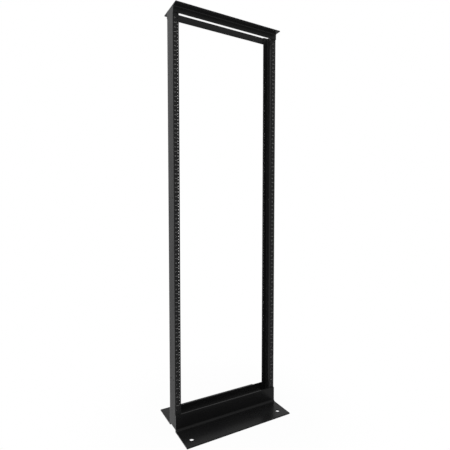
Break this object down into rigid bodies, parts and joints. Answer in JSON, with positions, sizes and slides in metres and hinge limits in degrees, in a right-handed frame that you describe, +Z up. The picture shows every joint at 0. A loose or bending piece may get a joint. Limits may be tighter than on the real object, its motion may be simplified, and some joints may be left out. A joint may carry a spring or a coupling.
{
  "type": "two-post open frame rack",
  "caption": "Tall open equipment rack: two upright channels with columns of holes, on wide base angles and tied by small top angles.",
  "frame": {"origin": "on the floor, at the middle of the rack's width and depth", "axes": "+X to the rack's right seen from the front, +Y to the back, +Z up"},
  "size_m": [0.6172, 0.381, 2.1284],
  "materials": {
    "upright_coating": "black satin powder coat, fine orange peel, on extruded aluminium",
    "angle_coating": "black satin powder coat, fine orange peel, on extruded aluminium angle"
  },
  "bodies": {
    "root": {"left_upright": "upright_coating", "right_upright": "upright_coating", "front_base_angle": "angle_coating", "back_base_angle": "angle_coating", "front_top_angle": "angle_coating", "back_top_angle": "angle_coating"}
  },
  "joints": []
}
